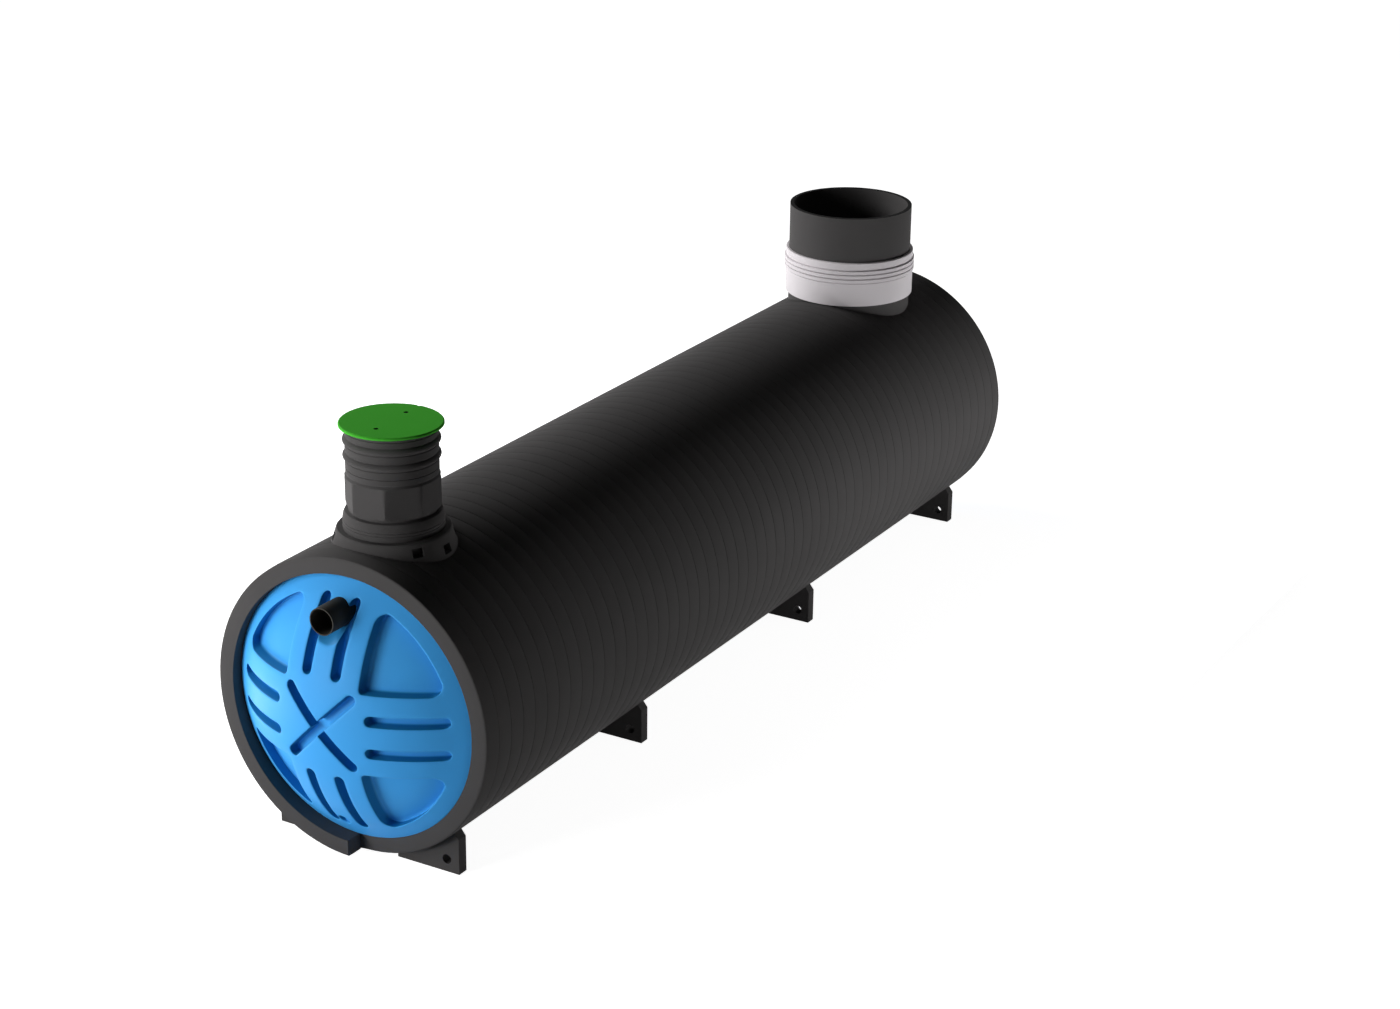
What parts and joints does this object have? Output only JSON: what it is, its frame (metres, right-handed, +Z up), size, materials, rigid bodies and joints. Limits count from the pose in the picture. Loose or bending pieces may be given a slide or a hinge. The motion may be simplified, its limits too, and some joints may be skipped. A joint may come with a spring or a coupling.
{
  "type": "firefighting water tank",
  "caption": "Horizontal wound-pipe firefighting water tank with domed ribbed end caps, inlet stub, lidded riser, open access shaft and anchored foot plates.",
  "frame": {"origin": "on the ground under the middle of the tank, at the level of the feet", "axes": "+Z up, +Y along the tank from the inlet end to the shaft end, +X to the right seen from the inlet end"},
  "size_m": [1.792, 7.1932, 2.479],
  "materials": {
    "black_pipe": "satin black polyethylene with wound seams",
    "blue_cap": "satin blue moulded polyethylene",
    "inlet_black": "satin black pipe",
    "riser_black": "matt black moulded polyethylene",
    "green_lid": "satin grass green",
    "shaft_black": "satin black pipe",
    "grey_collar": "satin light grey",
    "foot_black": "sawn black plate"
  },
  "bodies": {
    "root": {"pipe_wall_left_1": "black_pipe", "pipe_wall_right_1": "black_pipe", "pipe_wall_left_2": "black_pipe", "pipe_wall_right_2": "black_pipe", "pipe_wall_left_3": "black_pipe", "pipe_wall_right_3": "black_pipe", "pipe_wall_left_4": "black_pipe", "pipe_wall_right_4": "black_pipe", "pipe_wall_left_5": "black_pipe", "pipe_wall_right_5": "black_pipe", "pipe_wall_left_6": "black_pipe", "pipe_wall_right_6": "black_pipe", "pipe_crown_front": "black_pipe", "pipe_crown_middle": "black_pipe", "pipe_crown_rear": "black_pipe", "front_end_cap": "blue_cap", "rear_end_cap": "blue_cap", "inlet_pipe": "inlet_black", "riser_saddle": "riser_black", "riser_neck_right": "riser_black", "riser_neck_rear": "riser_black", "riser_neck_left": "riser_black", "riser_neck_front": "riser_black", "riser_lid": "green_lid", "shaft_stub": "shaft_black", "shaft_collar": "grey_collar", "shaft_pipe": "shaft_black", "foot_left_1": "foot_black", "foot_right_1": "foot_black", "foot_left_2": "foot_black", "foot_right_2": "foot_black", "foot_left_3": "foot_black", "foot_right_3": "foot_black", "foot_left_4": "foot_black", "foot_right_4": "foot_black"}
  },
  "joints": []
}
